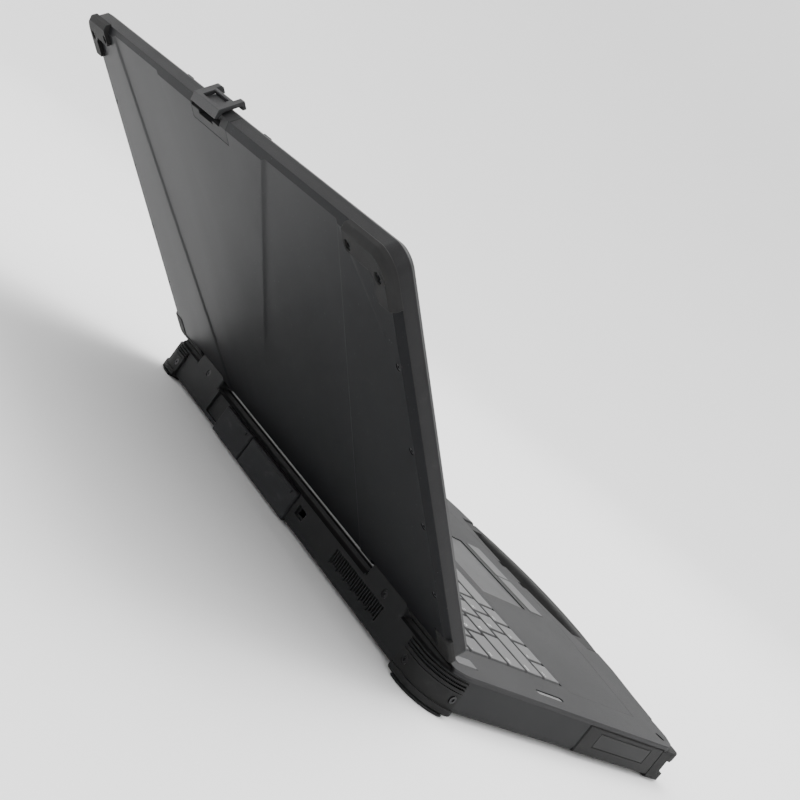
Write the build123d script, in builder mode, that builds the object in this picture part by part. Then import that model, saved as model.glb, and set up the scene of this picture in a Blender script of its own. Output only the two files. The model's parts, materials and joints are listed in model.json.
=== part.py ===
from build123d import *
import math
import os

os.makedirs("parts", exist_ok=True)

# Rugged 15.6 inch laptop. X is the user's right, Y points to the hinge side, Z is up.
# The origin is on the case's underside, below the middle of the deck.

# Base case
case_width = 399.0
case_rear = 127.5          # y of the rear face
case_front = -127.5        # y of the front corners
cover_top = 3.0            # seam between bottom cover and middle case
case_seam = 20.7           # seam between middle case and top case
deck_top = 23.4
foot_drop = 3.5            # how far the corner bumpers reach below the underside
case_wall = 3.0
rear_corner_radius = 22.0
shoulder_inner = 87.0      # x where each raised front shoulder ends beside the handle
shoulder_reach = 26.5      # how far a shoulder stands in front of the front corners
bow_end_reach = 10.5       # front edge between the shoulders, at its ends
bow_middle_reach = 0.7     # the same edge at its middle, behind the latch
edge_break = 0.8
cover_reveal = 0.5         # bottom cover inside the case outline

# Lid
lid_gap_side = 1.85        # case side to lid side
lid_length = 247.6         # hinge axis to top edge
lid_back_rise = 6.5        # hinge axis to the lid's back plane
lid_thickness = 12.3
lid_cover_depth = 3.1      # back plane to the seam between back cover and bezel
lid_bevel_angle = 55.0     # slope of the back cover's edge, all round
lid_edge_flat = 0.3        # straight edge left below that slope
lid_face_bevel = 2.3       # bezel's edge towards the screen side
lid_corner_radius = 11.0
lid_wall = 1.8
lid_open_angle = 141.54    # from closed, as the part is stored
hinge_axis_y = 121.6
hinge_axis_z = 30.3

# Hinges
hood_inner = 112.0         # x where each hinge hood starts
hood_length = 40.0
hood_radius = 6.3
hood_bottom = 19.5
hood_clearance = 1.3       # hood to the notch in the lid
shaft_radius = 2.5
shaft_clearance = 0.05
arm_width = 5.5

# Screen
window_side = 24.65        # lid's side to the window
window_low = 21.0          # hinge axis to the window's lower edge
window_high = 31.1         # window's upper edge to the lid's top edge
glass_thickness = 0.8
glass_lip = 2.0            # bezel left in front of the glass
panel_margin = 6.0
camera_inset = 20.1        # lid's top edge to camera

# Keyboard
key_pitch = 19.05
row_pitch = 18.86
pad_pitch = 16.2
key_gap = 1.7
key_left = -166.9
key_front = -14.7
function_row_depth = 15.6
key_top = 23.9
key_thickness = 2.0
stem_width = 6.0
stem_clearance = 0.3
tray_thickness = 1.5
tray_drop = 3.2            # deck top to the tray's top face
opening_margin = 1.2

# Touchpad and its buttons
pad_middle = -20.0
pad_width = 88.0
pad_rear = -28.0
pad_depth = 52.0
pad_sink = 0.7
button_gap = 1.2
button_rear = -86.0
button_depth = 17.0
button_rise = 0.5

# Battery module in the left side
battery_front = -108.5
battery_rear = -18.0
battery_length = 118.0
battery_proud = 0.6
battery_gap = 0.4

# Carrying handle
handle_thickness = 14.0
handle_top = 22.5
handle_bottom = 5.5
handle_reach = 45.5        # in front of the front corners, at the middle
handle_end_reach = 31.0
handle_gap = 2.2           # shoulder to handle end
lug_width = 15.0

# Rubber
bumper_proud = 1.6         # band around the case's corners
foot_proud = 2.8           # foot below that band
foot_top = 2.6
foot_step = 1.7            # foot pad below the rest of the foot
foot_inset = 5.0           # foot pad's ends inside the bumper's
bumper_rear_span = 32.0    # along the rear face from the case's corner
bumper_side_span = 21.5
bumper_front_span = 19.5
bumper_top = 19.2
bumper_sink = 1.6          # rear bumpers let into the case wall
bumper_line = 13.0
bumper_grooves = [(15.2, 16.4), (17.1, 18.3)]
groove_floor = 1.1         # rubber left behind a groove
bumper_seat = 1.0          # recess in the underside that holds each foot
bumper_gap = 0.3
door_proud = 2.0
door_thickness = 4.6
door_bottom = -1.0
door_top = 18.9
door_gap = 0.35
door_plug = 1.6
door_heel = 1.3            # lower inner edge, cut back so that it clears as the door turns

# Latch on the lid's top edge
latch_half = 17.0
latch_plate = 2.2
latch_lift = 0.4           # plate above the lid's top edge
latch_hook_reach = 10.6    # hinge axis level down to the hook tips
latch_hook_turn = 2.3
latch_mount_left = 28.0
latch_mount_right = 20.5
latch_mount_depth = 12.4
latch_pin_radius = 1.25
latch_pin_inset = 3.2      # below the lid's top edge

half_width = case_width / 2
lid_half = half_width - lid_gap_side
lid_back = hinge_axis_z + lid_back_rise
lid_seam = lid_back - lid_cover_depth
lid_face = lid_back - lid_thickness
lid_edge_y = hinge_axis_y - lid_length
window_width = 2 * (lid_half - window_side)
window_height = lid_length - window_low - window_high
camera_s = lid_length - camera_inset
hood_outer = hood_inner + hood_length
notch_depth = hood_radius + hood_clearance
hinge_axis = Axis((0, hinge_axis_y, hinge_axis_z), (1, 0, 0))


def keep(part, name):
    """Label a finished piece and write its file."""
    part.label = name
    export_step(part, f"parts/{name}.step")


def opened(part):
    """Turn a lid piece, made lying closed, to the stored open angle."""
    return part.rotate(hinge_axis, -lid_open_angle)


def lid_y(distance):
    """Closed-lid y of a point that far from the hinge axis."""
    return hinge_axis_y - distance


def block(x, y, z, mode=Mode.ADD):
    """A box between three pairs of limits, inside the current part."""
    with Locations(((x[0] + x[1]) / 2, (y[0] + y[1]) / 2, (z[0] + z[1]) / 2)):
        Box(x[1] - x[0], y[1] - y[0], z[1] - z[0], mode=mode)


def rod(x, y, z, radius, mode=Mode.ADD):
    """A round rod along X between two x limits."""
    with Locations(((x[0] + x[1]) / 2, y, z)):
        Cylinder(radius, x[1] - x[0], rotation=(0, 90, 0), mode=mode)


def sided(side, low, high):
    """Two x limits on the chosen side, in rising order."""
    return (low, high) if side > 0 else (-high, -low)


def front_points():
    """Right half of the front edge, from the end of the bow to the straight side."""
    return [
        (shoulder_inner, case_front - bow_end_reach),
        (shoulder_inner, case_front - shoulder_reach),
        (shoulder_inner + 21, case_front - shoulder_reach + 3),
        (half_width - 59.5, case_front - 13.5),
        (half_width - 33.5, case_front - 6.5),
        (half_width - 31.5, case_front - 4.0),
        (half_width - 14.5, case_front - 1.0),
        (half_width - 5.5, case_front + 4.5),
        (half_width, case_front + 14.5),
    ]


def case_plan(inset=0.0):
    """Plan outline of the case, with the bowed front between two shoulders."""
    right = front_points()
    left = [(-x, y) for x, y in reversed(right)]
    with BuildSketch() as plan:
        with BuildLine():
            Polyline(*right, (half_width, case_rear), (-half_width, case_rear), *left)
            ThreePointArc(left[-1], (0, case_front - bow_middle_reach), right[0])
        make_face()
        fillet(plan.vertices().group_by(Axis.Y)[-1], rear_corner_radius)
        if inset:
            offset(amount=-inset, kind=Kind.ARC)
    return plan.sketch


case_outline = case_plan()
cover_outline = case_plan(cover_reveal)
cavity_outline = case_plan(case_wall)
bumper_outline = case_plan(-bumper_proud)
foot_outline = case_plan(-foot_proud)
sink_outline = case_plan(bumper_sink)
groove_outline = case_plan(bumper_sink - groove_floor)
line_outline = case_plan(0.6 - bumper_proud)


def slab(outline, bottom, top, mode=Mode.ADD):
    """An outline of the case between two heights."""
    extrude(Pos(0, 0, bottom) * outline, amount=top - bottom, mode=mode)


# Key layout: widths in key units, front row first
row_widths = [
    [1, 1, 1, 1, 5.25, 1, 1, 0.75, 1, 1, 1],
    [2.25, 1, 1, 1, 1, 1, 1, 1, 1, 1, 1, 2.75],
    [1.75, 1, 1, 1, 1, 1, 1, 1, 1, 1, 1, 1, 2.25],
    [1.5, 1, 1, 1, 1, 1, 1, 1, 1, 1, 1, 1, 1, 1.5],
    [1, 1, 1, 1, 1, 1, 1, 1, 1, 1, 1, 1, 1, 2],
    [1, 1, 1, 1, 1, 1, 1, 1, 1, 1, 1, 1, 1, 1, 1],
]
row_names = ["bottom", "lower", "home", "upper", "number", "function"]
row_units = 15.0
pad_columns = 4


def row_limits(row):
    """Front and rear y of one key row."""
    front = key_front + row * row_pitch
    depth = function_row_depth if row == 5 else row_pitch - key_gap
    return front, front + depth


def main_keys(row):
    """Limits of each key cap in one row of the main block."""
    front, rear = row_limits(row)
    left = key_left
    caps = []
    for width in row_widths[row]:
        right = left + width * key_pitch
        caps.append(((left, right - key_gap), (front, rear)))
        left = right
    return caps


def pad_keys():
    """Limits of each key cap in the number pad."""
    pad_left = key_left + row_units * key_pitch + 1.0
    caps = []
    for row in range(6):
        for column in range(pad_columns):
            left = pad_left + column * pad_pitch
            front, rear = row_limits(row)
            if column == pad_columns - 1 and row in (0, 2):
                rear = row_limits(row + 1)[1]
            if column == pad_columns - 1 and row in (1, 3):
                continue
            if row == 0 and column == 1:
                continue
            if row == 0 and column == 0:
                caps.append(((left, left + 2 * pad_pitch - key_gap), (front, rear)))
                continue
            caps.append(((left, left + pad_pitch - key_gap), (front, rear)))
    return caps


tray_top = deck_top - tray_drop
key_right = key_left + row_units * key_pitch + 1.0 + pad_columns * pad_pitch - key_gap
key_rear = row_limits(5)[1]
opening_x = (key_left - opening_margin, key_right + opening_margin)
opening_y = (key_front - opening_margin, key_rear + opening_margin)
all_caps = [cap for row in range(6) for cap in main_keys(row)] + pad_keys()


def middle(limits):
    """Middle of a pair of limits."""
    return (limits[0] + limits[1]) / 2


def key_caps(caps, name):
    """Tapered caps on square stems that slide in the tray."""
    with BuildPart() as keys:
        for x, y in caps:
            with BuildSketch(Plane.XY.offset(key_top - key_thickness)):
                with Locations((middle(x), middle(y))):
                    Rectangle(x[1] - x[0], y[1] - y[0])
            extrude(amount=key_thickness, taper=18)
            stem_low = tray_top - tray_thickness / 2
            block(
                (middle(x) - stem_width / 2, middle(x) + stem_width / 2),
                (middle(y) - stem_width / 2, middle(y) + stem_width / 2),
                (stem_low, key_top - key_thickness),
            )
    keep(keys.part, name)


for index, row_name in enumerate(row_names):
    key_caps(main_keys(index), f"keys_{row_name}")
key_caps(pad_keys(), "keys_numpad")

# Keyboard tray with a square guide hole under each key
with BuildPart() as keyboard_tray:
    tray_lap = 4.0
    block(
        (opening_x[0] - tray_lap, opening_x[1] + tray_lap),
        (opening_y[0] - tray_lap / 2, opening_y[1] + tray_lap / 2),
        (tray_top - tray_thickness, tray_top),
    )
    block(
        (opening_x[0] - tray_lap, opening_x[1] + tray_lap),
        (opening_y[0] - tray_lap / 2, opening_y[1] + tray_lap / 2),
        (tray_top, case_seam),
    )
    block(opening_x, opening_y, (tray_top, case_seam), mode=Mode.SUBTRACT)
    with Locations(*[(middle(x), middle(y), tray_top - tray_thickness / 2) for x, y in all_caps]):
        hole = stem_width + 2 * stem_clearance
        Box(hole, hole, 2 * tray_thickness, mode=Mode.SUBTRACT)
keep(keyboard_tray.part, "keyboard_tray")

# Touchpad pocket, touchpad and two buttons
pad_x = (pad_middle - pad_width / 2, pad_middle + pad_width / 2)
pad_y = (pad_rear - pad_depth, pad_rear)
button_y = (button_rear - button_depth, button_rear)
pad_clearance = 0.3
plate_thickness = 1.0
plate_half = 173.0
plate_rear = -19.5

with BuildPart() as touchpad:
    block(
        (pad_x[0] + pad_clearance, pad_x[1] - pad_clearance),
        (pad_y[0] + pad_clearance, pad_y[1] - pad_clearance),
        (deck_top - pad_sink - 1.6, deck_top - pad_sink),
    )
    fillet(touchpad.edges().filter_by(Axis.Z), 2.0)
keep(touchpad.part, "touchpad")


def pad_button(side, name):
    """One button in front of the touchpad, with a rounded front lip and a guide stem."""
    inner = pad_middle + side * button_gap / 2
    outer = pad_middle + side * (pad_width / 2 - pad_clearance)
    x = (min(inner, outer), max(inner, outer))
    y = (button_y[0] + pad_clearance, button_y[1] - pad_clearance)
    with BuildPart() as button:
        block(x, y, (deck_top - 1.6, deck_top + button_rise))
        fillet(button.edges().filter_by(Axis.Z), 1.5)
        chamfer(button.faces().sort_by(Axis.Z)[-1].edges(), 0.4)
        block(
            (middle(x) - 4, middle(x) + 4),
            (middle(y) - 4, middle(y) + 4),
            (case_seam - 1.5, deck_top - 1.6),
        )
    keep(button.part, name)


pad_button(-1, "touchpad_button_left")
pad_button(1, "touchpad_button_right")


def plate_plan(clearance=0.0):
    """Palm rest inlay: straight sides, front edge parallel to the bowed case front."""
    front_corner = case_front + 29.0
    front_knee = case_front + 6.5
    with BuildSketch() as plan:
        with BuildLine():
            Polyline(
                (0, plate_rear),
                (plate_half, plate_rear),
                (plate_half, front_corner),
                (shoulder_inner - 17, front_knee),
            )
            ThreePointArc(
                (shoulder_inner - 17, front_knee), (0, case_front + 4.0), (17 - shoulder_inner, front_knee)
            )
            Polyline(
                (17 - shoulder_inner, front_knee),
                (-plate_half, front_corner),
                (-plate_half, plate_rear),
                (0, plate_rear),
            )
        make_face()
        if clearance:
            offset(amount=-clearance, kind=Kind.INTERSECTION)
    return plan.sketch


plate_recess = plate_plan()
plate_outline = plate_plan(0.15)

with BuildPart() as palm_rest_plate:
    with BuildSketch(Plane.XY.offset(deck_top - plate_thickness)):
        add(plate_outline)
    extrude(amount=plate_thickness)
    block(pad_x, pad_y, (deck_top - 5, deck_top + 1), mode=Mode.SUBTRACT)
    block(pad_x, button_y, (deck_top - 5, deck_top + 1), mode=Mode.SUBTRACT)
keep(palm_rest_plate.part, "palm_rest_plate")

# Latch hooks drop into two slots in the deck's front edge
hook_inner = 11.5
hook_outer = latch_half
hook_slot_gap = 1.0
hook_tip_y = lid_edge_y - latch_lift + latch_hook_turn
hook_slot_rear = hook_tip_y + hook_slot_gap
hook_tip_z = hinge_axis_z - latch_hook_reach


def hook_slots():
    """Cut the two catch slots."""
    for side in (-1, 1):
        block(
            sided(side, hook_inner - hook_slot_gap, hook_outer + hook_slot_gap),
            (case_front - bow_end_reach, hook_slot_rear),
            (hook_tip_z - hook_slot_gap, deck_top + 1),
            mode=Mode.SUBTRACT,
        )


# Rear features, as x limits seen from behind the case
door_right_x = (46.2, 88.6)
door_left_x = (-25.8, 44.8)
lock_slot_x = (-41.0, -31.0)
lock_slot_z = (8.6, 15.0)
vent_x = (-138.0, -81.0)
vent_z = (8.0, 16.5)
vent_count = 25
vent_slot = 1.35
rail_half = 110.5
rear_step_x = 109.5        # rear wall set back between here and the right door
rear_step = 2.0
door_pocket_top = 19.6
pocket_floor = case_rear + door_proud - door_thickness - 0.2
bay_x = (-half_width - 5, -half_width + battery_length)
bay_y = (battery_front - battery_gap, battery_rear + battery_gap)
side_door_y = (20.0, 66.0)
side_port_y = (25.0, 46.0)
side_port_width = 14.0
drive_y = (-96.0, -6.0)
power_x = (-188.0, -179.0)
power_y = (91.0, 109.0)
status_x = (-189.0, -184.8)
status_y = (4.0, 32.0)


def hood_cuts():
    """Room for the two hinge hoods."""
    for side in (-1, 1):
        block(
            sided(side, hood_inner - 0.3, hood_outer + 0.3),
            (hinge_axis_y - hood_radius - 0.3, case_rear + 5),
            (hood_bottom, deck_top + 1),
            mode=Mode.SUBTRACT,
        )


def bumper_span(side, rear, gap=0.0):
    """X and y limits of one corner bumper, grown by a gap towards the case's middle."""
    reach = bumper_rear_span if rear else bumper_front_span
    x = sided(side, half_width - reach - gap, half_width + foot_proud + 1)
    if rear:
        return x, (case_rear - bumper_side_span - gap, case_rear + foot_proud + 1)
    return x, (case_front - 11, battery_front - battery_gap + gap)


bumper_corners = [(side, rear) for side in (-1, 1) for rear in (True, False)]

# Bottom cover
screw_places = [(x, y) for x in (-150, -50, 50, 150) for y in (-118, 105)] + [(30, 0), (150, 0)]
handle_screw_places = [(-77.0, -147.0), (77.0, -147.0)]
with BuildPart() as bottom_cover:
    slab(cover_outline, 0, cover_top)
    chamfer(bottom_cover.faces().sort_by(Axis.Z)[0].edges(), edge_break)
    block(bay_x, bay_y, (-1, cover_top + 1), mode=Mode.SUBTRACT)
    block((door_left_x[0] - door_gap, door_right_x[1] + door_gap), (pocket_floor, case_rear + 1),
          (-1, cover_top + 1), mode=Mode.SUBTRACT)
    for side, rear in bumper_corners:
        seat_x, seat_y = bumper_span(side, rear, bumper_gap)
        block(seat_x, seat_y, (-1, bumper_seat), mode=Mode.SUBTRACT)
    with Locations((60, 60, cover_top / 2)):
        with GridLocations(4.0, 0, 14, 1):
            Box(1.8, 44, 2 * cover_top, mode=Mode.SUBTRACT)
    with Locations(*[(x, y, 0) for x, y in screw_places]):
        Cylinder(3.2, 3.0, mode=Mode.SUBTRACT)
        Cylinder(1.3, 3 * cover_top, mode=Mode.SUBTRACT)
keep(bottom_cover.part, "bottom_cover")

# Middle case: the ring of walls, with pockets for doors, battery and bumpers
with BuildPart() as middle_case:
    slab(case_outline, cover_top, case_seam)
    slab(cavity_outline, cover_top - 1, case_seam + 1, mode=Mode.SUBTRACT)
    # rear wall thickened behind the port doors, then the door pockets and port windows
    block((door_left_x[0] - 4, door_right_x[1] + 4), (pocket_floor - 3, pocket_floor + 0.5),
          (cover_top, case_seam - 1.8))
    for door_x in (door_left_x, door_right_x):
        block((door_x[0] - door_gap, door_x[1] + door_gap), (pocket_floor, case_rear + 1),
              (cover_top - 1, door_pocket_top), mode=Mode.SUBTRACT)
        block((door_x[0] + 3, door_x[1] - 3), (pocket_floor - 5, case_rear), (5.0, 16.9),
              mode=Mode.SUBTRACT)
    block((door_right_x[1], rear_step_x), (case_rear - rear_step, case_rear + 1), (cover_top - 1, door_pocket_top),
          mode=Mode.SUBTRACT)
    block(lock_slot_x, (case_rear - 2.0, case_rear + 1), lock_slot_z, mode=Mode.SUBTRACT)
    block((lock_slot_x[0] + 1.4, lock_slot_x[1] - 1.4), (case_rear - 5, case_rear), (9.9, 13.7),
          mode=Mode.SUBTRACT)
    vent_pitch = (vent_x[1] - vent_x[0] - vent_slot) / (vent_count - 1)
    for slot in range(vent_count):
        left = vent_x[0] + slot * vent_pitch
        low = vent_z[0] - (1.3 if slot % 4 == 0 else 0)
        block((left, left + vent_slot), (case_rear - 5, case_rear + 1), (low, vent_z[1]),
              mode=Mode.SUBTRACT)
    block((-rail_half, rail_half), (case_rear - 3.0, case_rear + 1), (door_pocket_top, case_seam + 1),
          mode=Mode.SUBTRACT)
    block(bay_x, bay_y, (cover_top - 1, case_seam + 1), mode=Mode.SUBTRACT)
    block((half_width - 7, half_width - 2), (side_door_y[0] - 3, side_door_y[1] + 3), (cover_top, case_seam))
    block((half_width - 4, half_width + 1), (side_door_y[0] - door_gap, side_door_y[1] + door_gap),
          (cover_top - 1, 17.5), mode=Mode.SUBTRACT)
    for y in side_port_y:
        block((half_width - 8, half_width), (y - 0.3, y + side_port_width + 0.3), (5.7, 13.3), mode=Mode.SUBTRACT)
    block((half_width - 2, half_width + 1), (drive_y[0] - 0.3, drive_y[1] + 0.3), (4.2, 17.8),
          mode=Mode.SUBTRACT)
    block((half_width - 10, half_width), (drive_y[0] + 4, drive_y[1] - 4), (6.5, 15.5), mode=Mode.SUBTRACT)
    hook_slots()
    hood_cuts()
    for side in (-1, 1):
        sink_x, sink_y = bumper_span(side, True, bumper_gap)
        with BuildPart(mode=Mode.SUBTRACT):
            slab(foot_outline, cover_top - 1, door_pocket_top)
            slab(sink_outline, cover_top - 2, case_seam, mode=Mode.SUBTRACT)
            block(sink_x, sink_y, (cover_top - 1, door_pocket_top), mode=Mode.INTERSECT)
keep(middle_case.part, "middle_case")

# Top case: the deck, with its openings, inlay recess and rear rail
rail_top = 22.2
with BuildPart() as top_case:
    slab(case_outline, case_seam, deck_top)
    chamfer(top_case.faces().sort_by(Axis.Z)[-1].edges(), edge_break)
    block((-rail_half, rail_half), (case_rear - 3.0, case_rear), (door_pocket_top, case_seam))
    block((-half_width, half_width), (case_rear - 8.5, case_rear + 1), (rail_top, deck_top + 1),
          mode=Mode.SUBTRACT)
    fillet(top_case.edges().filter_by(Axis.X).group_by(Axis.Y)[-1].sort_by(Axis.Z)[-1], 1.4)
    block(opening_x, opening_y, (case_seam - 1, deck_top + 1), mode=Mode.SUBTRACT)
    with BuildSketch(Plane.XY.offset(deck_top - plate_thickness)):
        add(plate_recess)
    extrude(amount=plate_thickness + 1, mode=Mode.SUBTRACT)
    # touchpad sits on a floor of the deck, its buttons work through two holes
    block(pad_x, pad_y, (deck_top - pad_sink - 1.6, deck_top), mode=Mode.SUBTRACT)
    for x in (middle((pad_x[0], pad_middle - button_gap / 2)), middle((pad_middle + button_gap / 2, pad_x[1]))):
        block((x - 4.3, x + 4.3), (middle(button_y) - 4.3, middle(button_y) + 4.3),
              (case_seam - 1, deck_top), mode=Mode.SUBTRACT)
    block(pad_x, button_y, (case_seam + 0.3, deck_top), mode=Mode.SUBTRACT)
    # power button hole, status window recess and the oval tether recess
    block(power_x, power_y, (case_seam - 1, deck_top + 1), mode=Mode.SUBTRACT)
    with BuildSketch(Plane.XY.offset(deck_top - 1.2)):
        with Locations((middle(status_x), middle(status_y))):
            SlotOverall(status_y[1] - status_y[0], status_x[1] - status_x[0], rotation=90)
        with Locations((-half_width + 11.0, case_front + 13.5)):
            SlotOverall(7.5, 4.2, rotation=20)
        with Locations((half_width - 11.0, case_front + 13.5)):
            SlotOverall(7.5, 4.2, rotation=-20)
    extrude(amount=3, mode=Mode.SUBTRACT)
    hook_slots()
    hood_cuts()
keep(top_case.part, "top_case")

with BuildPart() as status_window:
    with BuildSketch(Plane.XY.offset(deck_top - 1.2)):
        with Locations((middle(status_x), middle(status_y))):
            SlotOverall(status_y[1] - status_y[0] - 0.3, status_x[1] - status_x[0] - 0.3, rotation=90)
    extrude(amount=0.8)
keep(status_window.part, "status_window")

with BuildPart() as power_button:
    block((power_x[0] + 0.3, power_x[1] - 0.3), (power_y[0] + 0.3, power_y[1] - 0.3),
          (case_seam + 0.3, deck_top + 0.3))
    fillet(power_button.edges().filter_by(Axis.Z), 1.0)
    chamfer(power_button.faces().sort_by(Axis.Z)[-1].edges(), 0.3)
keep(power_button.part, "power_button")


def corner_points(inset):
    """Right front bumper's plan: it squares off the case's slanted corner."""
    return [
        (half_width + 0.5, battery_front + 5),
        (half_width + 0.5, case_front + 7.5),
        (half_width + 0.8 - inset, case_front + 4.0),
        (half_width - 3.2 - inset, case_front - 5.5 + inset),
        (half_width - 10.0 - inset, case_front - 7.5 + inset),
        (half_width - 21.0, case_front - 6.0 + inset),
        (half_width - 40.0, case_front + 5),
    ]


def corner_plan(side, inset=0.0):
    """That plan on either side."""
    with BuildSketch() as plan:
        with BuildLine():
            Polyline(*[(side * x, y) for x, y in corner_points(inset)], close=True)
        make_face()
    return plan.sketch


corner_step = 1.8          # screw band set back between the front bumper's two blocks
corner_band = (2.4, 13.8)
corner_screw_depth = 2.4


def bumper_screw_planes(side):
    """Seats of the three bumper screws on one side, each facing outwards."""
    upper, lower = Vector(*corner_points(corner_step)[2]), Vector(*corner_points(corner_step)[3])
    edge = (upper - lower).normalized()
    seat = (upper + lower) / 2 - Vector(edge.Y, -edge.X) * corner_screw_depth
    return [
        Plane(origin=(side * (half_width - 26.0), case_rear, 8.4), z_dir=(0, 1, 0)),
        Plane(origin=(side * half_width, case_rear - 17.5, 8.4), z_dir=(side, 0, 0)),
        Plane(origin=(side * seat.X, seat.Y, 7.2), z_dir=(side * edge.Y, -edge.X, 0)),
    ]


bumper_seats = bumper_screw_planes(-1) + bumper_screw_planes(1)
with BuildPart() as bumper_screws:
    with Locations(*bumper_seats):
        Cylinder(2.4, 1.4, align=(Align.CENTER, Align.CENTER, Align.MIN))
        with Locations((0, 0, 0.8)):
            Cylinder(1.1, 1.0, align=(Align.CENTER, Align.CENTER, Align.MIN), mode=Mode.SUBTRACT)
keep(bumper_screws.part, "bumper_screws")


def screw_wells():
    """Open each bumper screw's well outwards from its seat."""
    with Locations(*bumper_seats):
        Cylinder(2.6, 6.0, align=(Align.CENTER, Align.CENTER, Align.MIN), mode=Mode.SUBTRACT)


def rear_bumper(side, name):
    """Rubber corner with a foot, a lined band and a grooved top, let into the case wall."""
    x, y = bumper_span(side, True)
    pad_x_limits = sided(side, half_width - bumper_rear_span + foot_inset, half_width + foot_proud + 1)
    with BuildPart() as bumper:
        slab(bumper_outline, foot_top, bumper_top)
        for low, high in bumper_grooves:
            slab(bumper_outline, low, high, mode=Mode.SUBTRACT)
            slab(groove_outline, low, high)
        slab(bumper_outline, bumper_line, bumper_line + 0.5, mode=Mode.SUBTRACT)
        slab(line_outline, bumper_line, bumper_line + 0.5)
        slab(foot_outline, foot_step - foot_drop, foot_top)
        chamfer(bumper.faces().sort_by(Axis.Z)[0].edges(), 1.2)
        block(x, y, (foot_step - foot_drop, bumper_top), mode=Mode.INTERSECT)
        with BuildPart():
            slab(foot_outline, -foot_drop, foot_step - foot_drop)
            chamfer(faces().sort_by(Axis.Z)[0].edges(), 1.0)
            block(pad_x_limits, (y[0] + foot_inset, y[1]), (-foot_drop, foot_step - foot_drop), mode=Mode.INTERSECT)
        slab(case_outline, bumper_seat, cover_top, mode=Mode.SUBTRACT)
        slab(sink_outline, cover_top, deck_top, mode=Mode.SUBTRACT)
        screw_wells()
    keep(bumper.part, name)


def front_bumper(side, name):
    """Rubber corner of two blocks with the screw band set back between them."""
    x, y = bumper_span(side, False)
    with BuildPart() as bumper:
        slab(corner_plan(side), foot_step - foot_drop, case_seam - 0.4)
        slab(corner_plan(side), *corner_band, mode=Mode.SUBTRACT)
        slab(corner_plan(side, corner_step), *corner_band)
        chamfer(bumper.faces().sort_by(Axis.Z)[0].edges(), 1.2)
        chamfer(bumper.faces().sort_by(Axis.Z)[-1].edges(), 1.0)
        block(x, y, (foot_step - foot_drop, case_seam), mode=Mode.INTERSECT)
        block(sided(side, half_width - bumper_front_span + foot_inset, half_width - 3),
              (case_front - 5, y[1] - foot_inset), (-foot_drop, foot_step - foot_drop + 1.5))
        slab(case_outline, bumper_seat, deck_top, mode=Mode.SUBTRACT)
        screw_wells()
    keep(bumper.part, name)


for side, side_name in ((-1, "left"), (1, "right")):
    rear_bumper(side, f"bumper_rear_{side_name}")
    front_bumper(side, f"bumper_front_{side_name}")

# Carrying handle: a bow between the shoulders, on two lugs
grip_end = shoulder_inner - handle_gap
grip_outer_end = case_front - handle_end_reach
grip_outer_middle = case_front - handle_reach
with BuildPart() as carry_handle:
    with BuildSketch(Plane.XY.offset(handle_bottom)):
        with BuildLine():
            outer = ThreePointArc((-grip_end, grip_outer_end), (0, grip_outer_middle), (grip_end, grip_outer_end))
            Line(outer @ 1, (grip_end, grip_outer_end + handle_thickness))
            inner = ThreePointArc(
                (grip_end, grip_outer_end + handle_thickness),
                (0, grip_outer_middle + handle_thickness),
                (-grip_end, grip_outer_end + handle_thickness),
            )
            Line(inner @ 1, outer @ 0)
        make_face()
    extrude(amount=handle_top - handle_bottom)
    for side in (-1, 1):
        block(sided(side, grip_end - lug_width, grip_end),
              (grip_outer_end + 4, case_front - bow_end_reach + 4), (handle_bottom, handle_top))
    slab(case_outline, 0, deck_top, mode=Mode.SUBTRACT)
    fillet(carry_handle.faces().sort_by(Axis.Z)[-1].edges().filter_by(GeomType.CIRCLE), 3.0)
    fillet(carry_handle.faces().sort_by(Axis.Z)[0].edges().filter_by(GeomType.CIRCLE), 3.0)
    with Locations(*[(x, y, handle_bottom) for x, y in handle_screw_places]):
        Cylinder(2.4, 4.0, mode=Mode.SUBTRACT)
keep(carry_handle.part, "carry_handle")

# Hinge hoods on the case, lid arms with shafts that turn in them
shaft_end = hood_outer - 3.0
arm_inner = hood_inner - 1.2 - arm_width
arm_reach = window_low - panel_margin - 1.5


def hinge_hood(side, name):
    """Hood around the hinge barrel, standing on the case, bored for the shaft."""
    x = sided(side, hood_inner, hood_outer)
    with BuildPart() as hood:
        rod(x, hinge_axis_y, hinge_axis_z, hood_radius)
        block(x, (hinge_axis_y - hood_radius, hinge_axis_y + hood_radius), (hood_bottom, hinge_axis_z))
        chamfer(hood.faces().sort_by(Axis.X)[0].edges().filter_by(GeomType.CIRCLE), 0.8)
        chamfer(hood.faces().sort_by(Axis.X)[-1].edges().filter_by(GeomType.CIRCLE), 0.8)
        rod(sided(side, hood_inner - 1, shaft_end + 0.6), hinge_axis_y, hinge_axis_z,
            shaft_radius + shaft_clearance, mode=Mode.SUBTRACT)
        with Locations(Location((side * (hood_inner + 20.5), hinge_axis_y + hood_radius, 22.0), (90, 0, 0))):
            Cylinder(2.6, 3.0, mode=Mode.SUBTRACT)
    keep(hood.part, name)


hinge_hood(-1, "hinge_hood_left")
hinge_hood(1, "hinge_hood_right")

with BuildPart() as hinge_brackets:
    for side in (-1, 1):
        block(sided(side, hood_inner - 2, hood_outer + 2), (case_rear - case_wall - 24, case_rear - case_wall),
              (hood_bottom - 2.0, hood_bottom))
        block(sided(side, hood_outer - 5, hood_outer + 2), (case_rear - case_wall - 24, case_rear - case_wall),
              (cover_top, hood_bottom - 2.0))
keep(hinge_brackets.part, "hinge_brackets")

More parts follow.
